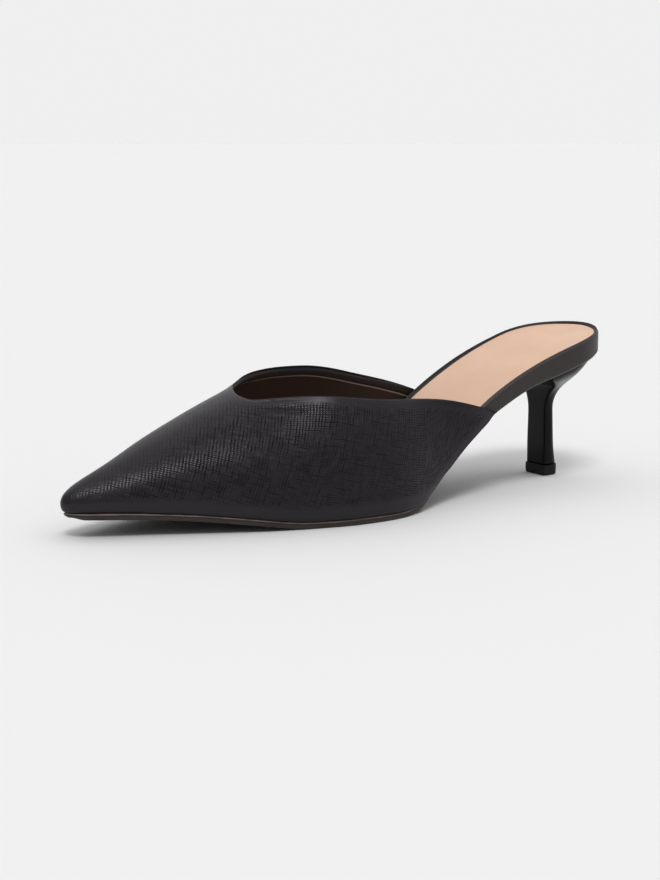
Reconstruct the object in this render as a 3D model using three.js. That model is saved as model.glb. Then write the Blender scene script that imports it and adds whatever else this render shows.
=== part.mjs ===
// A pointed mule for the left foot on a kitten heel, standing empty on its forefoot and its heel.
// Millimetres, +Z up. The toe points to -Y, the outer side of the foot to +X, and Z 0 is the floor.
// Places along the shoe are measured forwards from the back of the heel seat, and places across it
// from the middle line, with the outer side positive.
import * as THREE from "three";
import { mergeVertices } from "three/addons/utils/BufferGeometryUtils.js";

// Last and insole board
const boardLength = 249; // back of the seat to the board's tip, along the floor
const ballWidth = 74; // insole board across the ball
const seatRadius = 26; // round back of the heel seat, seen from above
const toePoint = 6; // length over which the toe's point is rounded off
const seatRise = 53.5; // how far the back of the seat stands above the forefoot
const toeSpring = 7.2; // how far the toe's tip stands above the ball
const boardThickness = 7.8; // wrapped edge of the board at the seat
const boardForeShare = 0.4; // board thickness left under the foot's ball and toes
const boardEdgeRound = 1.1; // rounding of the wrapped edge

// Upper
const wall = 1.6; // outer leather, lining and glue together
const vampHeight = 44; // ridge above the board's underside, just in front of the throat
const throatAt = 176.5; // throat of the topline
const throatMiddle = 2.5; // its foremost place, to the outer side of the middle line
const throatDepth = 18; // how far the throat's sides run back
const throatRadius = 20; // half width over which they run back half of that
const cornerAt = 67; // where the topline runs out at the sole
const toePole = 17; // the toe's ribs meet this far behind the tip
const bulge = 3.4; // how far the ribs lean out over the feather line

// Outsole
const soleThickness = 2.5; // under the forefoot
const waistThickness = 1.5; // under the waist
const soleEdge = 1.6; // the sole reaches this far past the board under the forefoot
const waistInset = 4.2; // and lies this far inside it under the waist

// Insole sock
const sockThickness = 1.0;
const sockInset = 1.3; // board left bare round the sock at the seat
const sockArchInset = 1.8; // and this much more along the inner arch

// Heel and top piece
const heelTipAt = 21.6; // middle of the heel's end
const heelTipWidth = 12.2; // across the shoe
const heelTipDepth = 8.4; // along the shoe
const heelBreastAt = 39; // front of the heel at the seat
const heelInset = 1.4; // the heel's top lies this far inside the board
const topPieceHeight = 4.4;
const topPieceStep = 0.45; // the top piece is this much wider than the heel's end all round
const topPieceRound = 0.6; // rounding of its lower edge

// Pieces that touch are this far apart.
const gap = 0.3;

// Half widths of the board as shares of the ball width. The lift is a share of the seat's rise, the
// spring of the toe's, and the thickness runs from 1 at the seat to 0 under the forefoot.
const lastRows = [
  { at: 0.0, outer: 0.356, inner: 0.356, lift: 1.0, spring: 0.0, thick: 1.0 },
  { at: 0.05, outer: 0.356, inner: 0.356, lift: 0.963, spring: 0.0, thick: 1.0 },
  { at: 0.1, outer: 0.354, inner: 0.355, lift: 0.903, spring: 0.0, thick: 1.0 },
  { at: 0.2, outer: 0.343, inner: 0.348, lift: 0.733, spring: 0.0, thick: 1.0 },
  { at: 0.25, outer: 0.344, inner: 0.335, lift: 0.622, spring: 0.0, thick: 1.0 },
  { at: 0.3, outer: 0.352, inner: 0.322, lift: 0.5, spring: 0.0, thick: 0.85 },
  { at: 0.35, outer: 0.371, inner: 0.316, lift: 0.338, spring: 0.0, thick: 0.6 },
  { at: 0.4, outer: 0.41, inner: 0.326, lift: 0.148, spring: 0.0, thick: 0.3 },
  { at: 0.44, outer: 0.468, inner: 0.348, lift: 0.03, spring: 0.0, thick: 0.12 },
  { at: 0.48, outer: 0.525, inner: 0.378, lift: 0.0, spring: 0.0, thick: 0.0 },
  { at: 0.54, outer: 0.562, inner: 0.43, lift: 0.0, spring: 0.0, thick: 0.0 },
  { at: 0.58, outer: 0.563, inner: 0.458, lift: 0.0, spring: 0.0, thick: 0.0 },
  { at: 0.66, outer: 0.51, inner: 0.482, lift: 0.0, spring: 0.0, thick: 0.0 },
  { at: 0.7, outer: 0.475, inner: 0.458, lift: 0.0, spring: 0.12, thick: 0.0 },
  { at: 0.74, outer: 0.434, inner: 0.42, lift: 0.0, spring: 0.32, thick: 0.0 },
  { at: 0.8, outer: 0.35, inner: 0.332, lift: 0.0, spring: 0.6, thick: 0.0 },
  { at: 0.87, outer: 0.248, inner: 0.232, lift: 0.0, spring: 0.83, thick: 0.0 },
  { at: 0.93, outer: 0.155, inner: 0.145, lift: 0.0, spring: 0.93, thick: 0.0 },
  { at: 0.965, outer: 0.106, inner: 0.1, lift: 0.0, spring: 0.97, thick: 0.0 },
  { at: 1.0, outer: 0.06, inner: 0.06, lift: 0.0, spring: 1.0, thick: 0.0 },
];

// Ribs of the upper: the crown as a share of the vamp height above the board's underside, the
// ridge's shift to the inner side as a share of the ball width, the lean over the feather line as a
// share of the bulge, and the fullness of side and top.
// Behind the throat the crown is where the last would go on, above the topline.
const ribRows = [
  { at: 0.25, crown: 1.0, ridge: 0.05, lean: 0.1, side: 0.5, top: 0.6 },
  { at: 0.35, crown: 1.25, ridge: 0.05, lean: 0.6, side: 0.5, top: 0.6 },
  { at: 0.45, crown: 1.5, ridge: 0.055, lean: 1.0, side: 0.5, top: 0.6 },
  { at: 0.58, crown: 1.42, ridge: 0.055, lean: 1.0, side: 0.5, top: 0.6 },
  { at: 0.65, crown: 1.21, ridge: 0.055, lean: 1.0, side: 0.5, top: 0.6 },
  { at: 0.7, crown: 1.03, ridge: 0.055, lean: 1.0, side: 0.52, top: 0.6 },
  { at: 0.735, crown: 0.93, ridge: 0.05, lean: 1.0, side: 0.54, top: 0.6 },
  { at: 0.797, crown: 0.75, ridge: 0.045, lean: 1.0, side: 0.54, top: 0.6 },
  { at: 0.858, crown: 0.575, ridge: 0.035, lean: 1.0, side: 0.54, top: 0.62 },
  { at: 0.918, crown: 0.4, ridge: 0.02, lean: 1.0, side: 0.45, top: 0.68 },
  { at: 1.0, crown: 0.2, ridge: 0.0, lean: 1.0, side: 0.42, top: 0.74 },
];

// Height of the topline, from its corner at the sole (0) to its throat (1).
const toplineRows = [
  { at: 0.0, outer: 0.06, inner: 0.13 },
  { at: 0.09, outer: 0.25, inner: 0.4 },
  { at: 0.21, outer: 0.51, inner: 0.69 },
  { at: 0.35, outer: 0.68, inner: 0.97 },
  { at: 0.46, outer: 0.765, inner: 1.19 },
  { at: 0.57, outer: 0.84, inner: 1.32 },
  { at: 0.68, outer: 0.945, inner: 1.34 },
  { at: 0.78, outer: 1.02, inner: 1.31 },
  { at: 0.85, outer: 1.01, inner: 1.28 },
  { at: 0.91, outer: 0.96, inner: 1.2 },
  { at: 0.95, outer: 0.92, inner: 1.1 },
  { at: 1.0, outer: 0.89, inner: 0.99 },
];

// Heel from its end (0) to the seat (1): each line's way from the end's place to the seat's, the
// share of the depth that lies in front of the widest place, and the squareness of the round back.
const heelRows = [
  { at: 0.0, back: 0.0, breast: 0.0, width: 0.0, front: 0.2, square: 1.0 },
  { at: 0.2, back: -0.094, breast: 0.0, width: 0.0, front: 0.2, square: 1.0 },
  { at: 0.4, back: -0.11, breast: 0.0, width: -0.015, front: 0.2, square: 1.0 },
  { at: 0.52, back: -0.12, breast: 0.0, width: -0.02, front: 0.2, square: 0.9 },
  { at: 0.6, back: -0.094, breast: 0.0, width: 0.02, front: 0.2, square: 0.8 },
  { at: 0.66, back: 0.006, breast: 0.0, width: 0.08, front: 0.21, square: 0.65 },
  { at: 0.72, back: 0.13, breast: 0.02, width: 0.22, front: 0.23, square: 0.5 },
  { at: 0.78, back: 0.3, breast: 0.12, width: 0.45, front: 0.27, square: 0.35 },
  { at: 0.83, back: 0.42, breast: 0.34, width: 0.66, front: 0.31, square: 0.22 },
  { at: 0.9, back: 0.64, breast: 0.68, width: 0.88, front: 0.35, square: 0.1 },
  { at: 0.96, back: 0.84, breast: 0.9, width: 0.97, front: 0.38, square: 0.04 },
  { at: 1.0, back: 1.0, breast: 1.0, width: 1.0, front: 0.39, square: 0.0 },
];

// A smooth curve through one column of a table. It never overshoots, so level stretches stay level.
function curve(rows, column) {
  const x = rows.map((row) => row.at);
  const y = rows.map((row) => row[column]);
  const end = x.length - 1;
  const rise = (i) => (y[i + 1] - y[i]) / (x[i + 1] - x[i]);
  const slopes = x.map((_, i) => {
    if (i === 0 || i === end) return rise(Math.min(i, end - 1));
    const before = rise(i - 1);
    const after = rise(i);
    const blend = (before * (x[i + 1] - x[i]) + after * (x[i] - x[i - 1])) / (x[i + 1] - x[i - 1]);
    const least = Math.min(Math.abs(before), Math.abs(after), Math.abs(blend) / 2);
    return (Math.sign(before) + Math.sign(after)) * least;
  });
  return (at) => {
    const t = THREE.MathUtils.clamp(at, x[0], x[end]);
    let i = 0;
    while (i < end - 1 && t > x[i + 1]) i++;
    const step = x[i + 1] - x[i];
    const u = (t - x[i]) / step;
    const fromStart = y[i] * (1 + 2 * u) + slopes[i] * step * u;
    const fromEnd = y[i + 1] * (3 - 2 * u) - slopes[i + 1] * step * (1 - u);
    return fromStart * (1 - u) ** 2 + fromEnd * u ** 2;
  };
}

const curves = (rows, ...columns) => {
  return Object.fromEntries(columns.map((column) => [column, curve(rows, column)]));
};
const last = curves(lastRows, "outer", "inner", "lift", "spring", "thick");
const rib = curves(ribRows, "crown", "ridge", "lean", "side", "top");
const topline = curves(toplineRows, "outer", "inner");
const heel = curves(heelRows, "back", "breast", "width", "front", "square");

const signs = { outer: 1, inner: -1 };
const share = (along) => along / boardLength;
const point = (along, across, up) => new THREE.Vector3(across, -along, up);

// Half width of the board's outline, grown on all sides by a margin.
function halfWidth(side, along, grow) {
  const toTip = Math.max(boardLength + grow - along, 0);
  const toBack = Math.max(along + grow, 0);
  const radius = seatRadius + grow;
  const body = ballWidth * last[side](share(along)) + grow;
  const toe = Math.sqrt(toTip / (toTip + toePoint));
  const back = toBack < radius ? Math.sqrt(1 - ((radius - toBack) / radius) ** 2) : 1;
  return body * toe * back;
}

// Height of the board's underside. The upper's lower edge lies at the same height.
function featherHeight(along) {
  const at = share(along);
  return soleThickness + gap + seatRise * last.lift(at) + toeSpring * last.spring(at);
}

// Upright height of a layer of the given thickness that lies on the sloping last.
function upright(along, thickness) {
  const slope = featherHeight(along + 0.5) - featherHeight(along - 0.5);
  return thickness * Math.hypot(1, slope);
}

function boardTop(along) {
  const full = boardForeShare + (1 - boardForeShare) * last.thick(share(along));
  return featherHeight(along) + upright(along, boardThickness * full);
}

// Triangles are collected as loose corners and merged at the end.
class Skin {
  constructor() {
    this.corners = [];
  }
  triangle(a, b, c) {
    const area = b.clone().sub(a).cross(c.clone().sub(a)).length();
    if (area > 1e-7) this.corners.push(a, b, c);
  }
  quad(a, b, c, d) {
    this.triangle(a, b, c);
    this.triangle(a, c, d);
  }
  // A net of points, row by row. Faces point to the side from which the rows run right and the
  // points of a row run up, or to the other side when it is turned.
  net(rows, turned = false) {
    for (let i = 0; i + 1 < rows.length; i++) {
      for (let j = 0; j + 1 < rows[i].length; j++) {
        const [a, b, c, d] = [rows[i][j], rows[i + 1][j], rows[i + 1][j + 1], rows[i][j + 1]];
        if (turned) this.quad(a, d, c, b);
        else this.quad(a, b, c, d);
      }
    }
  }
  // A lid on a closed loop, made of strips between the loop's two halves, from its first point on.
  lid(loop, turned = false) {
    const count = loop.length;
    for (let i = 0, j = count - 1; i + 1 < j; i++, j--) {
      const corners = [loop[i], loop[i + 1], loop[j - 1], loop[j]];
      this.quad(...(turned ? corners.reverse() : corners));
    }
  }
  geometry() {
    const made = new THREE.BufferGeometry().setFromPoints(this.corners);
    return mergeVertices(made, 1e-4);
  }
}

function finish(color, roughness) {
  return new THREE.MeshStandardMaterial({ color, roughness, metalness: 0 });
}

function piece(name, geometry, material) {
  const mesh = new THREE.Mesh(geometry, material);
  mesh.name = name;
  return mesh;
}

// Places from one end to the other, closer together at the far end.
function spaced(from, to, count, power = 1) {
  return Array.from({ length: count + 1 }, (_, i) => to + (from - to) * (1 - i / count) ** power);
}

// Places along a plate whose back is round: close together at the back and at the toe.
function plateStations(back, radius, tip, count) {
  const quarter = Array.from({ length: 9 }, (_, i) => (Math.PI / 2) * ((i + 0.15) / 9));
  const round = quarter.map((angle) => back + radius * (1 - Math.cos(angle)));
  return [...round, ...spaced(back + radius, tip, count, 1.25)];
}

// A plate that follows the last: at each place a closed loop across it, from the under edge round.
function plate(places, halves, under, over, round) {
  const skin = new Skin();
  const loops = places.map((along) => {
    const out = halves("outer", along);
    const inn = halves("inner", along);
    const low = under(along);
    const high = over(along);
    const r = Math.min(round, (high - low) / 2.5);
    const edge = (half) => Math.max(half - r, half * 0.3);
    return [
      point(along, -edge(inn), low),
      point(along, edge(out), low),
      point(along, out, low + r),
      point(along, out, high - r),
      point(along, edge(out), high),
      point(along, -edge(inn), high),
      point(along, -inn, high - r),
      point(along, -inn, low + r),
    ];
  });
  skin.net(loops.map((loop) => [...loop, loop[0]]), true);
  const cap = (loop, turned) => {
    const [a, b, c, d, e, f, g, h] = loop;
    for (const corners of [[a, b, c, h], [h, c, d, g], [g, d, e, f]]) {
      skin.quad(...(turned ? corners.reverse() : corners));
    }
  };
  cap(loops[0], true);
  cap(loops[loops.length - 1], false);
  return skin.geometry();
}

// Upper: ribs run from the feather line over the last to the ridge, and fan round the toe's tip.
const ribSteps = 11; // from the feather line to the topline
const throatSteps = 4; // from the throat's shoulder to the ridge
const backSteps = 22; // ribs behind the throat
const foreSteps = 14; // ribs in front of it
const fanSteps = 7; // ribs round the toe
const rimSteps = 3;
const poleAt = boardLength + gap + wall - toePole;

function crownHeight(along, grow) {
  return featherHeight(along) + vampHeight * rib.crown(share(along)) + grow - gap - wall;
}

function ribCurve(side, along, fan, grow) {
  const tip = boardLength + grow;
  const reach = (end) => (fan === null ? along : end - (end - poleAt) * (1 - fan) ** 2);
  const at = reach(tip);
  const centre = fan === null ? along : poleAt;
  const full = share(centre);
  const out = bulge * rib.lean(full);
  const leanAt = reach(tip + out);
  const feather = featherHeight(at);
  const crown = crownHeight(centre, grow);
  const foot = point(at, signs[side] * halfWidth(side, at, grow), feather);
  const lean = point(leanAt, signs[side] * halfWidth(side, leanAt, grow + out), 0);
  lean.z = feather + (crown - feather) * rib.side(full);
  const top = point(centre, -ballWidth * rib.ridge(full), crown);
  const shoulder = top.clone().lerp(point(at, foot.x, crown), rib.top(full));
  const fall = crown - crownHeight(centre - 1, grow);
  shoulder.z += fall * rib.top(full) * (at - centre);
  return new THREE.CubicBezierCurve3(foot, lean, shoulder, top);
}

// A point at a share of a rib's height. The ribs bow back on both sides of the throat, most of all
// at the throat itself, whose rim follows one of them.
function ribPoint(side, along, fan, grow, height) {
  const { smoothstep } = THREE.MathUtils;
  const straight = ribCurve(side, along, fan, grow).getPoint(height);
  if (fan !== null) return straight;
  const near = smoothstep(along, cornerAt, throatAt) * (1 - smoothstep(along, throatAt, poleAt));
  const off = (straight.x - throatMiddle) ** 2;
  const bow = (throatDepth * near * off) / (off + throatRadius ** 2);
  return ribCurve(side, along - bow, null, grow).getPoint(height);
}

function upperStations() {
  const open = spaced(cornerAt, throatAt, backSteps, 1.8).map((along) => ({ along, fan: null }));
  const closed = spaced(throatAt, poleAt, foreSteps).map((along) => ({ along, fan: null }));
  const fan = Array.from({ length: fanSteps }, (_, i) => ({ along: poleAt, fan: (i + 1) / fanSteps }));
  return [...open, ...closed.slice(1), ...fan];
}

// The share of a rib that the upper covers: up to the topline's height, found by halving.
function covered(side, along) {
  const low = featherHeight(cornerAt);
  const high = crownHeight(throatAt, gap + wall);
  let [from, to] = [0, 1];
  for (let i = 0; i < 24; i++) {
    const middle = (from + to) / 2;
    const { y, z } = ribPoint(side, along, null, gap + wall, middle);
    const at = (-y - cornerAt) / (throatAt - cornerAt);
    if (z < low + (high - low) * topline[side](at)) from = middle;
    else to = middle;
  }
  return (from + to) / 2;
}

// Steps up a rib to the topline. The lower ones lie level with the next rib's where there is room.
// The ribs from the throat on are closed, and go on from its shoulder to the ridge.
function ribShares(cut, shoulder, closed) {
  const room = Math.max(shoulder - cut, 1e-3);
  const power = THREE.MathUtils.clamp((0.6 * shoulder) / room, 1, 4);
  const lower = Array.from({ length: ribSteps + 1 }, (_, j) => {
    return (shoulder * j) / ribSteps - (shoulder - cut) * (j / ribSteps) ** power;
  });
  return closed ? [...lower, ...spaced(shoulder, 1, throatSteps).slice(1)] : lower;
}

function upperGeometry() {
  const stations = upperStations();
  const shoulders = { outer: covered("outer", throatAt), inner: covered("inner", throatAt) };
  const common = (shoulders.outer + shoulders.inner) / 2;
  const rows = (side, grow) =>
    stations.map(({ along, fan }, i) => {
      const fore = Math.max(i - backSteps, 0) / (foreSteps + fanSteps);
      const shoulder = THREE.MathUtils.lerp(shoulders[side], common, fore);
      const closed = i >= backSteps;
      const cut = closed ? shoulder : covered(side, along);
      return ribShares(cut, shoulder, closed).map((at) => ribPoint(side, along, fan, grow, at));
    });
  const skin = new Skin();
  const out = { outer: rows("outer", gap + wall), inner: rows("inner", gap + wall) };
  const lined = { outer: rows("outer", gap), inner: rows("inner", gap) };
  skin.net(out.outer, true);
  skin.net(out.inner, false);
  skin.net(lined.outer, false);
  skin.net(lined.inner, true);
  // The underside, from the feather line in to the lining.
  const under = (side) => stations.map((_, i) => [lined[side][i][0], out[side][i][0]]);
  skin.net(under("outer"), true);
  skin.net(under("inner"), false);
  // The rounded rim along the topline: from one corner to the throat, round it and to the other.
  const topEdge = (side) => {
    const ends = [];
    for (let i = 0; i < backSteps; i++) ends.push([out[side][i][ribSteps], lined[side][i][ribSteps]]);
    for (let j = ribSteps; j <= ribSteps + throatSteps; j++) {
      ends.push([out[side][backSteps][j], lined[side][backSteps][j]]);
    }
    return ends;
  };
  const rimLine = [...topEdge("outer"), ...topEdge("inner").reverse().slice(1)];
  const rim = rimLine.map(([a, b], i) => {
    const before = rimLine[Math.max(i - 1, 0)][0];
    const after = rimLine[Math.min(i + 1, rimLine.length - 1)][0];
    const across = b.clone().sub(a);
    const way = after.clone().sub(before).cross(across).normalize();
    const middle = a.clone().lerp(b, 0.5);
    return Array.from({ length: rimSteps + 1 }, (_, k) => {
      if (k === 0) return a;
      if (k === rimSteps) return b;
      const angle = (Math.PI * k) / rimSteps;
      const swing = way.clone().multiplyScalar(Math.sin(angle) * across.length() * 0.5);
      return middle.clone().addScaledVector(across, -0.5 * Math.cos(angle)).add(swing);
    });
  });
  skin.net(rim, true);
  // The two ends at the corners.
  const end = (side, rimEnd, turned) => {
    for (let j = 0; j < ribSteps; j++) {
      const corners = [out[side][0][j], lined[side][0][j], lined[side][0][j + 1], out[side][0][j + 1]];
      skin.quad(...(turned ? corners.reverse() : corners));
    }
    for (let k = 1; k + 1 < rimEnd.length; k++) {
      const corner = [rimEnd[0], rimEnd[k + 1], rimEnd[k]];
      skin.triangle(...(turned ? corner.reverse() : corner));
    }
  };
  end("outer", rim[0], false);
  end("inner", rim[rim.length - 1], true);
  return skin.geometry();
}

const endMargin = 0.02; // a plate's first and last loops lie this far inside its outline

const boardPlaces = plateStations(endMargin, seatRadius, boardLength - endMargin, 32);

function boardGeometry() {
  const half = (side, along) => halfWidth(side, along, 0);
  return plate(boardPlaces, half, featherHeight, boardTop, boardEdgeRound);
}

// The sock lies on the board, at the board's own places, and leaves more of it bare along the arch.
function sockGeometry() {
  const half = (side, along) => {
    const bare = side === "inner" ? sockArchInset * archShare(along) : 0;
    return halfWidth(side, along, -sockInset) - bare;
  };
  const under = (along) => boardTop(along) + gap;
  const over = (along) => under(along) + upright(along, sockThickness);
  const back = sockInset + endMargin;
  const tip = boardLength - sockInset - endMargin;
  const between = boardPlaces.filter((along) => along > back + gap && along < tip - gap);
  return plate([back, ...between, tip], half, under, over, sockThickness / 3);
}

// 1 in the middle of the arch and 0 at the seat and at the ball.
function archShare(along) {
  const { smoothstep } = THREE.MathUtils;
  return smoothstep(share(along), 0.08, 0.24) * (1 - smoothstep(share(along), 0.36, 0.54));
}

// The outsole runs from the heel's breast to the toe. It is level under the ball.
function outsoleGeometry() {
  const { smoothstep } = THREE.MathUtils;
  const fore = (along) => smoothstep(share(along), 0.34, 0.5);
  const half = (side, along) => {
    return halfWidth(side, along, soleEdge * fore(along) - waistInset * (1 - fore(along)));
  };
  const over = (along) => featherHeight(along) - gap;
  const under = (along) => {
    return over(along) - upright(along, waistThickness + (soleThickness - waistThickness) * fore(along));
  };
  const tip = boardLength + soleEdge - endMargin;
  const places = spaced(heelBreastAt + gap, tip, 34, 1.15);
  return plate(places, half, under, over, soleThickness / 8);
}

// A closed loop round the heel: square at the breast, round at the back.
const heelSteps = 28;
const breastSquare = 7; // sharpness of the two corners beside the breast

function heelLoop(at, grow, height) {
  const tipBack = heelTipAt - heelTipDepth / 2;
  const tipBreast = heelTipAt + heelTipDepth / 2;
  const seatWidth = 2 * (seatRadius - heelInset);
  const back = THREE.MathUtils.lerp(tipBack, heelInset, heel.back(at)) - grow;
  const breast = THREE.MathUtils.lerp(tipBreast, heelBreastAt, heel.breast(at)) + grow;
  const half = THREE.MathUtils.lerp(heelTipWidth, seatWidth, heel.width(at)) / 2 + grow;
  const middle = breast - (breast - back) * heel.front(at);
  return Array.from({ length: heelSteps }, (_, i) => {
    const angle = (2 * Math.PI * (i + 0.5)) / heelSteps;
    const [across, along] = [Math.cos(angle), Math.sin(angle)];
    const square = along > 0 ? breastSquare : 2 + heel.square(at);
    const round = (value) => Math.sign(value) * Math.abs(value) ** (2 / square);
    const place = middle + round(along) * (along > 0 ? breast - middle : middle - back);
    return point(place, half * round(across), height(place));
  });
}

function loft(loops) {
  const skin = new Skin();
  skin.net(loops.map((loop) => [...loop, loop[0]]), false);
  skin.lid(loops[0], false);
  skin.lid(loops[loops.length - 1], true);
  return skin.geometry();
}

function heelGeometry() {
  const low = topPieceHeight + gap;
  const shares = spaced(0, 1, 18, 1.15);
  const under = (along) => featherHeight(along) - gap;
  return loft(shares.map((at) => heelLoop(at, 0, (place) => low + (under(place) - low) * at)));
}

function topPieceGeometry() {
  const level = (height, grow) => heelLoop(0, grow, () => height);
  return loft([
    level(0, topPieceStep - topPieceRound),
    level(topPieceRound * 0.3, topPieceStep - topPieceRound * 0.3),
    level(topPieceRound, topPieceStep),
    level(topPieceHeight, topPieceStep),
  ]);
}

const shoe = new THREE.Group();
shoe.add(
  piece("upper", upperGeometry(), finish(0x2b292b, 0.55)),
  piece("insole_board", boardGeometry(), finish(0x343133, 0.5)),
  piece("insole", sockGeometry(), finish(0xdcb99b, 0.65)),
  piece("outsole", outsoleGeometry(), finish(0x3a3230, 0.6)),
  piece("heel", heelGeometry(), finish(0x242223, 0.35)),
  piece("top_piece", topPieceGeometry(), finish(0x1f1e1e, 0.7)),
);

// The origin lies on the floor in the middle of the shoe's box.
const box = new THREE.Box3().setFromObject(shoe);
const middle = box.getCenter(new THREE.Vector3());
for (const mesh of shoe.children) mesh.geometry.translate(-middle.x, -middle.y, -box.min.z);

export default shoe;
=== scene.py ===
"""A black pointed mule for the left foot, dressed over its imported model.

Metres, +Z up. The toe points to -Y, the outer side of the foot is at +X, and the floor is Z 0.
"""
import logging
import math
from dataclasses import dataclass, field
from enum import Enum

import bpy
import numpy as np
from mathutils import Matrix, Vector
from mathutils.bvhtree import BVHTree
from mathutils.kdtree import KDTree


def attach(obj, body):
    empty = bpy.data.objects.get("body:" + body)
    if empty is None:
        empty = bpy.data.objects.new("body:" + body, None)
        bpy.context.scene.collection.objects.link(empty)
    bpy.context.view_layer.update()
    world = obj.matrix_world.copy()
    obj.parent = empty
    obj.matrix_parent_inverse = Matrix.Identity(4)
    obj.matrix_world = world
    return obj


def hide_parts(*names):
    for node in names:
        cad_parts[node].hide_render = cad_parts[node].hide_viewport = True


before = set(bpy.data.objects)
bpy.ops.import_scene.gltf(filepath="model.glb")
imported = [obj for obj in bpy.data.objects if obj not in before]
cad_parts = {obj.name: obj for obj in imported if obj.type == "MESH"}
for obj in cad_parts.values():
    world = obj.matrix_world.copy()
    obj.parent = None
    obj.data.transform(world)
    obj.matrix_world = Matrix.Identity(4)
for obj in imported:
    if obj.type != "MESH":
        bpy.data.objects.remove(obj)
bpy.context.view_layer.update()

log = logging.getLogger("mule")
MM = 0.001


class Part(str, Enum):
    """The shoe's pieces, by the names of their solids."""

    UPPER = "upper"
    BOARD = "insole_board"
    SOCK = "insole"
    OUTSOLE = "outsole"
    HEEL = "heel"
    TOP_PIECE = "top_piece"


class Slot(str, Enum):
    """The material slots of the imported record."""

    UPPER = "upper_leather"
    BOARD = "board_wrap"
    SOCK = "sock_leather"
    OUTSOLE = "sole_leather"
    HEEL = "heel_lacquer"
    TOP_PIECE = "top_piece_rubber"


def linear(code: str) -> tuple[float, float, float, float]:
    """Turns an sRGB hex colour into linear light.

    Args:
        code: six hex digits, with or without a leading #.

    Returns:
        Red, green, blue and full alpha.
    """
    parts = [int(code.lstrip("#")[i : i + 2], 16) / 255 for i in (0, 2, 4)]
    light = [v / 12.92 if v <= 0.04045 else ((v + 0.055) / 1.055) ** 2.4 for v in parts]
    return (*light, 1.0)


def add(
    tree: bpy.types.NodeTree,
    kind: str,
    inputs: dict | None = None,
    settings: dict | None = None,
    stops: list[tuple[float, str]] | None = None,
) -> bpy.types.Node:
    """Adds a node with its settings and links.

    Args:
        tree: the material's node tree.
        kind: the node's type, without the leading ShaderNode.
        inputs: values or sockets for its inputs, by name or number.
        settings: its other properties.
        stops: a ramp's places and hex colours.

    Returns:
        The new node.
    """
    node = tree.nodes.new("ShaderNode" + kind)
    for name, value in (settings or {}).items():
        setattr(node, name, value)
    for name, value in (inputs or {}).items():
        if isinstance(value, bpy.types.NodeSocket):
            tree.links.new(value, node.inputs[name])
        else:
            node.inputs[name].default_value = value
    for i, (place, code) in enumerate(stops or []):
        elements = node.color_ramp.elements
        stop = elements[i] if i < 2 else elements.new(place)
        stop.position = place
        stop.color = linear(code)
    return node


def new_material(name: str) -> tuple[bpy.types.Material, bpy.types.NodeTree]:
    """Makes an empty material with an output node.

    Args:
        name: the material's plain name.

    Returns:
        The material and its node tree.
    """
    material = bpy.data.materials.new(name)
    material.use_nodes = True
    tree = material.node_tree
    tree.nodes.clear()
    return material, tree


def close(tree: bpy.types.NodeTree, shader: bpy.types.Node) -> None:
    """Links a shader to the material's output."""
    add(tree, "OutputMaterial", {"Surface": shader.outputs[0]})


def bands(pitch: float) -> float:
    """Gives the wave texture's scale for bands that are pitch apart, in the coordinate's own units."""
    return 2 * math.pi / 20 / pitch


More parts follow.
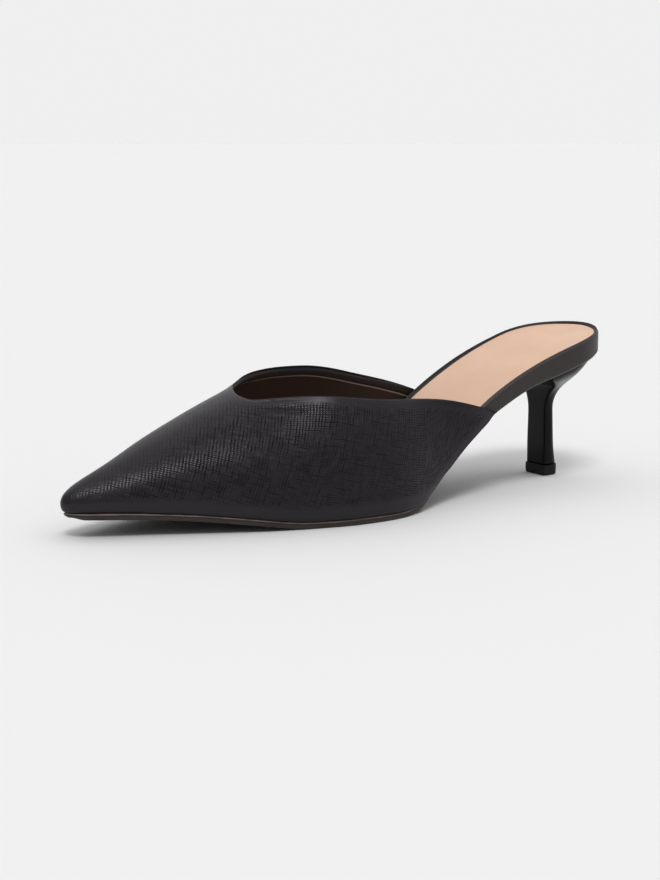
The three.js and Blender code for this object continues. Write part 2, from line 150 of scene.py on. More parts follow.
@dataclass(frozen=True)
class GrainedLeather:
    """Calf leather with an embossed cross-hatched grain under a semi-matte finish.

    The embossing plate leaves short ridges in rows that run up and over the foot. They break a
    highlight into rows of small glints, and away from it the leather looks smooth and matte.
    The real rows are about 0.8 mm apart. They are drawn coarser, at 1.05 and 0.94 mm, because
    finer ones lose their glints at the picture's size.
    """

    colour: str = "#100d10"
    # The ridge colour is partly the finish's own tone and partly painted glints
    raised_and_glint: str = "#2a242b"
    # The edge colour is a painted highlight along the topline's rounded cut edge
    edge: str = "#57504d"
    pitch_mm: float = 1.05
    cross_pitch_mm: float = 0.94
    lean_deg: float = 22.0
    cross_lean_deg: float = 14.0
    wander_mm: float = 0.9
    broken: tuple[float, float] = (0.35, 0.62)
    row_least: float = 0.3
    cross_least: float = 0.15
    crease_mm: float = 0.45
    depth_mm: float = 0.16
    highlight_line_mm: float = 0.5
    plain_mm: tuple[float, float] = (4.0, 6.5)
    fold_mm: tuple[float, float] = (1.2, 4.0)
    ridge_mm: tuple[float, float] = (3.0, 20.0)
    ridge_least: float = 0.15
    roughness: float = 0.33
    valley_roughness: float = 0.85

    def material(self) -> bpy.types.Material:
        """Makes the leather, whose grain follows the UV map in millimetres.

        Returns:
            The material.
        """
        material, tree = new_material("grained_calf_leather")
        place = add(tree, "UVMap", settings={"uv_map": "grain"})
        drift = add(tree, "TexNoise", {"Vector": place.outputs[0], "Scale": 0.22, "Detail": 3.0})
        centred = add(
            tree,
            "VectorMath",
            {0: drift.outputs["Color"], 1: (0.5, 0.5, 0.5)},
            {"operation": "SUBTRACT"},
        )
        small = add(
            tree,
            "VectorMath",
            {0: centred.outputs[0], "Scale": self.wander_mm},
            {"operation": "SCALE"},
        )
        bent = add(tree, "VectorMath", {0: place.outputs[0], 1: small.outputs[0]}, {"operation": "ADD"})
        # Two sets of rows, both a little uneven, which the two leans set off the shoe's own lines
        leaning = add(tree, "VectorRotate", {"Vector": bent.outputs[0], "Angle": math.radians(self.lean_deg)})
        rows = add(
            tree,
            "TexWave",
            {
                "Vector": leaning.outputs[0],
                "Scale": bands(self.pitch_mm),
                "Distortion": 0.9,
                "Detail": 2.0,
                "Detail Scale": 1.2,
            },
            {"bands_direction": "X"},
        )
        crossing = add(
            tree,
            "VectorRotate",
            {"Vector": bent.outputs[0], "Angle": math.radians(self.cross_lean_deg)},
        )
        across = add(
            tree,
            "TexWave",
            {
                "Vector": crossing.outputs[0],
                "Scale": bands(self.cross_pitch_mm),
                "Distortion": 1.1,
                "Detail": 2.0,
                "Detail Scale": 1.2,
            },
            {"bands_direction": "Y"},
        )
        # Each row keeps its strength for about 7 mm, then fades or comes back
        along = add(tree, "Mapping", {"Vector": leaning.outputs[0], "Scale": (0.75, 0.14, 1.0)})
        row_strength = add(tree, "TexNoise", {"Vector": along.outputs[0], "Scale": 1.0, "Detail": 2.0})
        strong = add(
            tree,
            "MapRange",
            {
                "Value": row_strength.outputs["Fac"],
                "From Min": self.broken[0],
                "From Max": self.broken[1],
                "To Min": self.row_least,
            },
        )
        over = add(tree, "Mapping", {"Vector": crossing.outputs[0], "Scale": (0.14, 0.75, 1.0)})
        cross_strength = add(tree, "TexNoise", {"Vector": over.outputs[0], "Scale": 1.0, "Detail": 2.0})
        cut = add(
            tree,
            "MapRange",
            {
                "Value": cross_strength.outputs["Fac"],
                "From Min": self.broken[0],
                "From Max": self.broken[1],
                "To Min": self.cross_least,
            },
        )
        row_gap = add(
            tree,
            "MapRange",
            {"Value": rows.outputs["Fac"], "From Min": 0.1, "From Max": 0.55, "To Min": 1.0, "To Max": 0.0},
        )
        cross_gap = add(
            tree,
            "MapRange",
            {"Value": across.outputs["Fac"], "From Min": 0.1, "From Max": 0.5, "To Min": 1.0, "To Max": 0.0},
        )
        row_valley = add(
            tree,
            "Math",
            {0: row_gap.outputs[0], 1: strong.outputs[0]},
            {"operation": "MULTIPLY"},
        )
        cross_valley = add(
            tree,
            "Math",
            {0: cross_gap.outputs[0], 1: cut.outputs[0]},
            {"operation": "MULTIPLY"},
        )
        valley = add(
            tree,
            "Math",
            {0: row_valley.outputs[0], 1: cross_valley.outputs[0]},
            {"operation": "MAXIMUM"},
        )
        # The grain is pressed flat by the sole's edge, in the topline's fold and over the ridge
        rim = add(tree, "Attribute", settings={"attribute_name": "rim_mm"})
        foot = add(tree, "Attribute", settings={"attribute_name": "foot_mm"})
        strip = add(
            tree,
            "MapRange",
            {"Value": foot.outputs["Fac"], "From Min": self.plain_mm[0], "From Max": self.plain_mm[1]},
        )
        fold = add(
            tree,
            "MapRange",
            {"Value": rim.outputs["Fac"], "From Min": self.fold_mm[0], "From Max": self.fold_mm[1]},
        )
        ridge = add(tree, "Attribute", settings={"attribute_name": "ridge_mm"})
        worn = add(
            tree,
            "MapRange",
            {
                "Value": ridge.outputs["Fac"],
                "From Min": self.ridge_mm[0],
                "From Max": self.ridge_mm[1],
                "To Min": self.ridge_least,
            },
        )
        sides = add(tree, "Math", {0: strip.outputs[0], 1: worn.outputs[0]}, {"operation": "MULTIPLY"})
        kept = add(tree, "Math", {0: sides.outputs[0], 1: fold.outputs[0]}, {"operation": "MULTIPLY"})
        sunk = add(tree, "Math", {0: valley.outputs[0], 1: kept.outputs[0]}, {"operation": "MULTIPLY"})
        height = add(tree, "Math", {0: 1.0, 1: sunk.outputs[0]}, {"operation": "SUBTRACT"})
        # A fine line in the bottom of the crease
        gap = add(tree, "Attribute", settings={"attribute_name": "crease_gap"})
        reach = add(tree, "Attribute", settings={"attribute_name": "crease_reach"})
        wander = add(tree, "TexNoise", {"Vector": place.outputs[0], "Scale": 0.5, "Detail": 2.0})
        shifted = add(
            tree,
            "Math",
            {0: wander.outputs["Fac"], 1: 1.6, 2: -0.8},
            {"operation": "MULTIPLY_ADD"},
        )
        middle = add(tree, "Math", {0: gap.outputs["Fac"], 1: shifted.outputs[0]}, {"operation": "ADD"})
        offset = add(tree, "Math", {0: middle.outputs[0]}, {"operation": "ABSOLUTE"})
        line = add(
            tree,
            "MapRange",
            {"Value": offset.outputs[0], "From Max": self.crease_mm, "To Min": -1.2, "To Max": 0.0},
            {"interpolation_type": "SMOOTHSTEP"},
        )
        fine = add(tree, "Math", {0: line.outputs[0], 1: reach.outputs["Fac"]}, {"operation": "MULTIPLY"})
        relief = add(tree, "Math", {0: height.outputs[0], 1: fine.outputs[0]}, {"operation": "ADD"})
        bump = add(
            tree,
            "Bump",
            {"Height": relief.outputs[0], "Strength": 1.0, "Distance": self.depth_mm * MM},
        )
        # Ridges are glossier and paler than the valleys: partly the finish's own tones, partly painted glints
        tone_and_glints = add(
            tree,
            "Mix",
            {0: height.outputs[0], 6: linear(self.colour), 7: linear(self.raised_and_glint)},
            {"data_type": "RGBA"},
        )
        # The paler line along the topline's rounded cut edge is a painted highlight
        rim_highlight = add(
            tree,
            "MapRange",
            {
                "Value": rim.outputs["Fac"],
                "From Min": self.highlight_line_mm * 0.9,
                "From Max": self.highlight_line_mm * 1.1,
                "To Min": 1.0,
                "To Max": 0.0,
            },
        )
        highlighted = add(
            tree,
            "Mix",
            {0: rim_highlight.outputs[0], 6: tone_and_glints.outputs[2], 7: linear(self.edge)},
            {"data_type": "RGBA"},
        )
        gloss = add(
            tree,
            "MapRange",
            {"Value": height.outputs[0], "To Min": self.valley_roughness, "To Max": self.roughness},
        )
        shader = add(
            tree,
            "BsdfPrincipled",
            {
                "Base Color": highlighted.outputs[2],
                "Roughness": gloss.outputs[0],
                "Normal": bump.outputs[0],
                "IOR": 1.5,
            },
        )
        close(tree, shader)
        return material


@dataclass(frozen=True)
class Lining:
    """Thin brown lining leather, with a black facing along the topline and the seam between them.

    The facing looks like the outside with no grain, the seam is a fine light line, and the lining
    is dull and brown. Its pores are really about 0.1 mm wide and are drawn coarser, at 0.9 mm, so
    that they show.
    """

    facing: str = "#2a2627"
    seam: str = "#a8a19c"
    lining: str = "#3a2b25"
    facing_mm: float = 3.0
    seam_mm: float = 0.42
    # The shade colour is a painted shadow: a dark band on the facing just above the seam, where its overlap
    # shades it
    shade: str = "#151314"
    span_mm: float = 10.0

    def material(self) -> bpy.types.Material:
        """Makes the lining, whose bands follow the distance from the topline.

        Returns:
            The material.
        """
        material, tree = new_material("brown_lining_leather")
        rim = add(tree, "Attribute", settings={"attribute_name": "rim_mm"})
        share = add(tree, "Math", {0: rim.outputs["Fac"], 1: self.span_mm}, {"operation": "DIVIDE"})
        start = self.facing_mm / self.span_mm
        end = start + self.seam_mm / self.span_mm
        soft = 0.12 / self.span_mm
        colour = add(
            tree,
            "ValToRGB",
            {0: share.outputs[0]},
            stops=[
                (0.0, self.facing),
                (start - 8 * soft, self.facing),
                # Painted shadow of the facing's overlap, just above the seam
                (start - 2 * soft, self.shade),
                (start, self.seam),
                (end, self.seam),
                (end + soft, self.lining),
            ],
        )
        place = add(tree, "TexCoord")
        pores = add(
            tree,
            "TexNoise",
            {"Vector": place.outputs["Object"], "Scale": 1 / (0.9 * MM), "Detail": 3.0},
        )
        bump = add(tree, "Bump", {"Height": pores.outputs["Fac"], "Strength": 0.5, "Distance": 0.05 * MM})
        shader = add(
            tree,
            "BsdfPrincipled",
            {"Base Color": colour.outputs[0], "Roughness": 0.6, "Normal": bump.outputs[0], "IOR": 1.5},
        )
        close(tree, shader)
        return material


@dataclass(frozen=True)
class SmoothLeather:
    """Smooth aniline or finished leather with fine pores and a faint unevenness in its colour.

    It gives a soft, even gloss that breaks up a little where the pores lie. They are really about
    0.1 mm wide and are drawn coarser, so that they show.
    """

    name: str
    colour: str
    shade: str
    roughness: float
    pore_mm: float = 0.55
    depth_mm: float = 0.03

    def material(self) -> bpy.types.Material:
        """Makes the leather.

        Returns:
            The material.
        """
        material, tree = new_material(self.name)
        place = add(tree, "TexCoord")
        cells = add(tree, "TexVoronoi", {"Vector": place.outputs["Object"], "Scale": 1 / (self.pore_mm * MM)})
        fine = add(
            tree,
            "TexNoise",
            {"Vector": place.outputs["Object"], "Scale": 1 / (0.3 * MM), "Detail": 2.0},
        )
        height = add(
            tree,
            "Math",
            {0: cells.outputs["Distance"], 1: fine.outputs["Fac"]},
            {"operation": "ADD"},
        )
        bump = add(
            tree,
            "Bump",
            {"Height": height.outputs[0], "Strength": 0.6, "Distance": self.depth_mm * MM},
        )
        clouds = add(
            tree,
            "TexNoise",
            {"Vector": place.outputs["Object"], "Scale": 1 / (14 * MM), "Detail": 4.0},
        )
        colour = add(
            tree,
            "Mix",
            {0: clouds.outputs["Fac"], 6: linear(self.colour), 7: linear(self.shade)},
            {"data_type": "RGBA"},
        )
        gloss = add(
            tree,
            "MapRange",
            {
                "Value": clouds.outputs["Fac"],
                "To Min": self.roughness - 0.05,
                "To Max": self.roughness + 0.05,
            },
        )
        shader = add(
            tree,
            "BsdfPrincipled",
            {
                "Base Color": colour.outputs[2],
                "Roughness": gloss.outputs[0],
                "Normal": bump.outputs[0],
                "IOR": 1.5,
            },
        )
        close(tree, shader)
        return material


@dataclass(frozen=True)
class SoleEdge:
    """Leather sole, its cut edge inked brown-black and burnished, with the layers just showing.

    A painted highlight runs as a thin lighter line along the top of the edge, and the underside is darker
    than the edge.
    The fibres are drawn coarser than real ones, at 0.8 mm, so that they show.
    """

    ink: str = "#332a27"
    # The lightest colour is a painted highlight along the top of the edge
    top_highlight: str = "#9a8a82"
    lower: str = "#483e3a"
    under: str = "#3a302c"
    roughness: float = 0.45

    def material(self) -> bpy.types.Material:
        """Makes the sole, whose layers follow the height above its underside.

        Returns:
            The material.
        """
        material, tree = new_material("inked_sole_leather")
        level = add(tree, "Attribute", settings={"attribute_name": "level"})
        colour = add(
            tree,
            "ValToRGB",
            {0: level.outputs["Fac"]},
            stops=[
                (0.0, self.under),
                (0.08, self.lower),
                (0.5, self.lower),
                (0.62, self.ink),
                (0.7, self.ink),
                # Painted highlight along the top of the edge
                (0.8, self.top_highlight),
            ],
        )
        place = add(tree, "TexCoord")
        long = add(tree, "Mapping", {"Vector": place.outputs["Object"], "Scale": (0.15, 0.15, 2.4)})
        streaks = add(tree, "TexNoise", {"Vector": long.outputs[0], "Scale": 1 / (1.1 * MM), "Detail": 3.0})
        worn = add(
            tree,
            "MapRange",
            {
                "Value": streaks.outputs["Fac"],
                "From Min": 0.35,
                "From Max": 0.7,
                "To Min": 0.0,
                "To Max": 0.75,
            },
        )
        mottled = add(
            tree,
            "Mix",
            {0: worn.outputs[0], 6: colour.outputs[0], 7: linear(self.ink)},
            {"data_type": "RGBA"},
        )
        fibres = add(
            tree,
            "TexNoise",
            {"Vector": place.outputs["Object"], "Scale": 1 / (0.8 * MM), "Detail": 4.0},
        )
        bump = add(tree, "Bump", {"Height": fibres.outputs["Fac"], "Strength": 0.5, "Distance": 0.06 * MM})
        shader = add(
            tree,
            "BsdfPrincipled",
            {
                "Base Color": mottled.outputs[2],
                "Roughness": self.roughness,
                "Normal": bump.outputs[0],
                "IOR": 1.5,
            },
        )
        close(tree, shader)
        return material


@dataclass(frozen=True)
class HeelLacquer:
    """Moulded ABS heel, sprayed with black satin lacquer.

    The lacquer is smooth, so the heel carries one soft highlight with a clean edge.
    """

    colour: str = "#0d0c0d"
    roughness: float = 0.2
    gloss: float = 0.22

    def material(self) -> bpy.types.Material:
        """Makes the lacquer with a faint orange peel.

        Returns:
            The material.
        """
        material, tree = new_material("satin_lacquered_abs")
        place = add(tree, "TexCoord")
        peel = add(
            tree,
            "TexNoise",
            {"Vector": place.outputs["Object"], "Scale": 1 / (1.2 * MM), "Detail": 2.0},
        )
        bump = add(tree, "Bump", {"Height": peel.outputs["Fac"], "Strength": 0.3, "Distance": 0.02 * MM})
        shader = add(
            tree,
            "BsdfPrincipled",
            {
                "Base Color": linear(self.colour),
                "Roughness": self.roughness,
                "Normal": bump.outputs[0],
                "IOR": 1.5,
                "Specular IOR Level": self.gloss,
            },
        )
        close(tree, shader)
        return material


@dataclass(frozen=True)
class Rubber:
    """Moulded polyurethane top piece: dull, a little lighter than the lacquer and faintly rough.

    Its grit is drawn coarser than real grit, at 0.4 mm, so that it shows.
    """

    colour: str = "#1b1a1a"
    roughness: float = 0.68

    def material(self) -> bpy.types.Material:
        """Makes the rubber.

        Returns:
            The material.
        """
        material, tree = new_material("moulded_polyurethane")
        place = add(tree, "TexCoord")
        grit = add(
            tree,
            "TexNoise",
            {"Vector": place.outputs["Object"], "Scale": 1 / (0.4 * MM), "Detail": 3.0},
        )
        bump = add(tree, "Bump", {"Height": grit.outputs["Fac"], "Strength": 0.5, "Distance": 0.04 * MM})
        shader = add(
            tree,
            "BsdfPrincipled",
            {
                "Base Color": linear(self.colour),
                "Roughness": self.roughness,
                "Normal": bump.outputs[0],
                "IOR": 1.5,
            },
        )
        close(tree, shader)
        return material


def select_only(piece: bpy.types.Object) -> None:
    """Deselects everything, then selects one piece and makes it active.

    Args:
        piece: the piece.
    """
    bpy.ops.object.select_all(action="DESELECT")
    piece.select_set(True)
    bpy.context.view_layer.objects.active = piece


def merged_copy(part: Part, name: str) -> bpy.types.Object:
    """Copies a solid's mesh into a piece of its own, with its loose triangles joined into quads.

    Args:
        part: the solid.
        name: the new piece's name.

    Returns:
        The new piece, which stands for the solid.
    """
    piece = bpy.data.objects.new(name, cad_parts[part.value].data.copy())
    bpy.context.scene.collection.objects.link(piece)
    piece.data.materials.clear()
    select_only(piece)
    if piece.data.has_custom_normals:
        bpy.ops.mesh.customdata_custom_splitnormals_clear()
    bpy.ops.object.mode_set(mode="EDIT")
    bpy.ops.mesh.select_all(action="SELECT")
    bpy.ops.mesh.remove_doubles(threshold=0.002 * MM)
    bpy.ops.mesh.tris_convert_to_quads(face_threshold=math.radians(50), shape_threshold=math.radians(120))
    bpy.ops.object.mode_set(mode="OBJECT")
    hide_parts(part.value)
    return piece


def smooth_out(piece: bpy.types.Object, sharp_deg: float, levels: int, round_mm: float = 0.0) -> None:
    """Subdivides a piece into smooth curves, keeps its sharp edges, and rounds those a little.

    Args:
        piece: the piece.
        sharp_deg: edges that turn more than this stay sharp.
        levels: subdivision levels.
        round_mm: rounding of the edges that stay sharp, or 0 for none.
    """
    select_only(piece)
    bpy.ops.object.mode_set(mode="EDIT")
    bpy.ops.mesh.select_mode(type="EDGE")
    bpy.ops.mesh.select_all(action="DESELECT")
    bpy.ops.mesh.edges_select_sharp(sharpness=math.radians(sharp_deg))
    bpy.ops.transform.edge_crease(value=1.0)
    bpy.ops.object.mode_set(mode="OBJECT")
    curve = piece.modifiers.new("curve", "SUBSURF")
    curve.levels = levels
    curve.render_levels = levels
    bpy.ops.object.modifier_apply(modifier=curve.name)
    if round_mm:
        edge = piece.modifiers.new("edge", "BEVEL")
        edge.width = round_mm * MM
        edge.segments = 2
        edge.limit_method = "ANGLE"
        edge.angle_limit = math.radians(sharp_deg * 0.8)
        bpy.ops.object.modifier_apply(modifier=edge.name)
    bpy.ops.object.shade_smooth()


def places_mm(piece: bpy.types.Object) -> np.ndarray:
    """Gives a piece's vertex places.

    Args:
        piece: the piece.

    Returns:
        The places in millimetres, one row for each vertex.
    """
    flat = np.empty(len(piece.data.vertices) * 3)
    piece.data.vertices.foreach_get("co", flat)
    return flat.reshape(-1, 3) / MM


def ease(value: np.ndarray, start: float, end: float) -> np.ndarray:
    """Rises smoothly from 0 at start to 1 at end."""
    share = np.clip((value - start) / (end - start), 0, 1)
    return share * share * (3 - 2 * share)


def store(piece: bpy.types.Object, name: str, values: np.ndarray) -> None:
    """Stores one number for each vertex as an attribute that a material can read."""
    layer = piece.data.attributes.new(name, "FLOAT", "POINT")
    layer.data.foreach_set("value", values.astype(np.float32))


def finish_piece(piece: bpy.types.Object, materials: list[bpy.types.Material]) -> None:
    """Gives a piece its materials and makes it part of the shoe.

    Args:
        piece: the piece.
        materials: its materials, in the order of its faces' numbers.
    """
    for material in materials:
        piece.data.materials.append(material)
    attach(piece, "root")


@dataclass
class Upper:
    """The vamp and sides: grained leather outside, facing and lining inside."""

    axis_x_mm: float = -6.0
    axis_rise_mm: float = 12.0
    throat_y_mm: float = -53.0
    along_step_mm: float = 4.0
    turn_step: float = math.radians(5)
    levels: int = 2
    corner_mm: tuple[float, float] = (44.0, 58.0)
    corner_thin_mm: float = 1.1
    corner_trim_mm: float = 1.8
    roll_mm: float = 0.5
    crease_mm: tuple[float, float] = (-55.0, -32.0)
    crease_below_mm: float = 4.4
    crease_wave_mm: float = 0.5
    crease_width_mm: float = 1.1
    crease_depth_mm: float = 0.22
    foot_at: np.ndarray = field(default_factory=lambda: np.zeros(1))
    foot_z: np.ndarray = field(default_factory=lambda: np.zeros(1))
    leather: GrainedLeather = field(default_factory=GrainedLeather)
    lining: Lining = field(default_factory=Lining)

    def build(self) -> bpy.types.Object:
        """Builds and dresses the upper.

        Returns:
            The finished piece.
        """
        piece = merged_copy(Part.UPPER, "upper_leather")
        smooth_out(piece, 75, self.levels)
        self.find_foot(piece)
        outward = self.split(piece)
        self.measure_rim(piece, outward)
        self.shape(piece, outward)
        self.lay_grain(piece, outward)
        finish_piece(piece, [self.leather.material(), self.lining.material()])
        return piece

    def find_foot(self, piece: bpy.types.Object) -> None:
        """Finds the height of the upper's lower edge along the shoe, in millimetres.

        Args:
            piece: the upper.
        """
        points = places_mm(piece)
        bins = np.arange(points[:, 1].min(), points[:, 1].max() + 4, 4.0)
        which = np.digitize(points[:, 1], bins)
        used = [i for i in range(1, len(bins) + 1) if (which == i).any()]
        self.foot_at = np.array([points[which == i, 1].mean() for i in used])
        self.foot_z = np.array([points[which == i, 2].min() for i in used])

    def floor_line(self, along: np.ndarray) -> np.ndarray:
        """Gives the height of the upper's lower edge at places along the shoe, in millimetres."""
        return np.interp(along, self.foot_at, self.foot_z)

    def split(self, piece: bpy.types.Object) -> np.ndarray:
        """Tells outside from inside and gives the inside its own material.

        Args:
            piece: the upper.

        Returns:
            For each face, how far it looks outwards, from 1 to -1.
        """
        mesh = piece.data
        normals = np.empty(len(mesh.polygons) * 3)
        centres = np.empty(len(mesh.polygons) * 3)
        mesh.polygons.foreach_get("normal", normals)
        mesh.polygons.foreach_get("center", centres)
        normals = normals.reshape(-1, 3)
        centres = centres.reshape(-1, 3) / MM
        away = np.zeros_like(centres)
        away[:, 0] = centres[:, 0] - self.axis_x_mm
        away[:, 2] = centres[:, 2] - self.floor_line(centres[:, 1]) - self.axis_rise_mm
        toe = centres[:, 1].min() + 18
        away[:, 1] = np.minimum(centres[:, 1] - toe, 0)
        away /= np.linalg.norm(away, axis=1, keepdims=True)
        outward = (normals * away).sum(axis=1)
        mesh.polygons.foreach_set("material_index", (outward < 0).astype(np.int32))
        return outward

    def measure_rim(self, piece: bpy.types.Object, outward: np.ndarray) -> None:
        """Stores each vertex's distance from the topline, in millimetres.

        Args:
            piece: the upper.
            outward: how far each face looks outwards.
        """
        mesh = piece.data
        behind = self.throat_y_mm * MM
        edge = [f for f in mesh.polygons if abs(outward[f.index]) < 0.45 and f.normal.z > -0.3]
        faces = [f for f in edge if f.center.y > behind]
        tree = KDTree(len(faces))
        for i, f in enumerate(faces):
            tree.insert(f.center, i)
        tree.balance()
        store(piece, "rim_mm", np.array([tree.find(v.co)[2] / MM for v in mesh.vertices]))

    def shape(self, piece: bpy.types.Object, outward: np.ndarray) -> None:
        """Skives the back corners, rolls the facing and presses the crease under the outer topline.

        Args:
            piece: the upper.
            outward: how far each face looks outwards.
        """
        mesh = piece.data
        points = places_mm(piece)
        rim = np.empty(len(points))
        mesh.attributes["rim_mm"].data.foreach_get("value", rim)
        facing = np.zeros(len(points))
        count = np.zeros(len(points))
        for f in mesh.polygons:
            facing[list(f.vertices)] += outward[f.index]
            count[list(f.vertices)] += 1
        facing /= count
        thin = self.corner_thin_mm * ease(points[:, 1], *self.corner_mm) * ease(facing, -0.8, 0.5)
        start, end = self.crease_mm
        window = ease(points[:, 1], start, start + 6) * (1 - ease(points[:, 1], end - 8, end))
        window *= (points[:, 0] > self.axis_x_mm) & (facing > 0.2)
        below = self.crease_below_mm + self.crease_wave_mm * np.sin((points[:, 1] - start) * 0.4)
        dent = self.crease_depth_mm * window * np.exp(-(((rim - below) / self.crease_width_mm) ** 2))
        swell = 0.5 * self.crease_depth_mm * window * np.exp(-(((rim - below + 2.2) / 1.2) ** 2))
        across = np.clip((rim - 0.3) / self.lining.facing_mm, 0, 1)
        roll = self.roll_mm * (facing < -0.3) * np.sin(math.pi * across)
        normals = np.empty(len(points) * 3)
        mesh.vertices.foreach_get("normal", normals)
        normals = normals.reshape(-1, 3)
        moved = points + normals * (roll + swell - dent)[:, None]
        moved[:, 0] -= np.sign(points[:, 0] - self.axis_x_mm) * thin
        moved[:, 1] -= self.corner_trim_mm * ease(points[:, 1], self.corner_mm[1] - 6, self.corner_mm[1] + 1)
        mesh.vertices.foreach_set("co", (moved * MM).ravel())
        mesh.update()
        store(piece, "crease_gap", rim - below)
        store(piece, "crease_reach", window)

    def lay_grain(self, piece: bpy.types.Object, outward: np.ndarray) -> None:
        """Lays a UV map over the upper, in millimetres along the shoe and up from its lower edge.

        The height above the lower edge and the distance from the ridge are stored too.

        Args:
            piece: the upper.
            outward: how far each face looks outwards.
        """
        mesh = piece.data
        points = places_mm(piece)
        above = points[:, 2] - self.floor_line(points[:, 1])
        across = np.abs(points[:, 0] - self.axis_x_mm)
        side = (points[:, 0] > self.axis_x_mm).astype(int)
        turn = np.arctan2(across, above) / self.turn_step
        reach = np.hypot(across, above)
        along = (points[:, 1] - points[:, 1].min()) / self.along_step_mm
        shape = (2, int(along.max()) + 3, int(math.pi / self.turn_step) + 3)
        total, count = np.zeros(shape), np.zeros(shape)
        skin = np.zeros(len(points), dtype=bool)
        for f in mesh.polygons:
            if outward[f.index] > 0.3:
                skin[list(f.vertices)] = True
        where = (side[skin], np.rint(along[skin]).astype(int), np.rint(turn[skin]).astype(int))
        np.add.at(total, where, reach[skin])
        np.add.at(count, where, 1)
        for _ in range(12):
            total, count = self.spread(total), self.spread(count)
        reach_map = total / np.maximum(count, 1e-9)
        step = np.hypot(np.diff(reach_map, axis=2), reach_map[:, :, :-1] * self.turn_step)
        down_map = np.concatenate([np.zeros((2, shape[1], 1)), np.cumsum(step, axis=2)], axis=2)
        i, j = along.astype(int), turn.astype(int)
        f, g = along - i, turn - j
        near = down_map[side, i, j] * (1 - g) + down_map[side, i, j + 1] * g
        far = down_map[side, i + 1, j] * (1 - g) + down_map[side, i + 1, j + 1] * g
        down = near * (1 - f) + far * f
        whole = down_map[:, :, round(math.pi / 2 / self.turn_step)]
        up = whole[side, i] * (1 - f) + whole[side, i + 1] * f - down
        store(piece, "foot_mm", above)
        store(piece, "ridge_mm", down)
        corners = np.empty(len(mesh.loops), dtype=np.int32)
        mesh.loops.foreach_get("vertex_index", corners)
        for old in list(mesh.uv_layers):
            mesh.uv_layers.remove(old)
        layer = mesh.uv_layers.new(name="grain")
        pairs = np.stack([points[corners, 1], up[corners]], axis=1)
        layer.data.foreach_set("uv", pairs.ravel().astype(np.float32))

    def spread(self, grid: np.ndarray) -> np.ndarray:
        """Blurs a grid of sums a little along the shoe and round it.

        Args:
            grid: the sums, by side, place along the shoe and turn round it.

        Returns:
            The blurred grid.
        """
        for axis in (1, 2):
            edge = [(0, 0), (0, 0), (0, 0)]
            edge[axis] = (1, 1)
            wide = np.pad(grid, edge, mode="edge")
            pick = [slice(None)] * 3
            shifted = []
            for start in range(3):
                pick[axis] = slice(start, start + grid.shape[axis])
                shifted.append(wide[tuple(pick)])
            grid = 0.25 * shifted[0] + 0.5 * shifted[1] + 0.25 * shifted[2]
        return grid


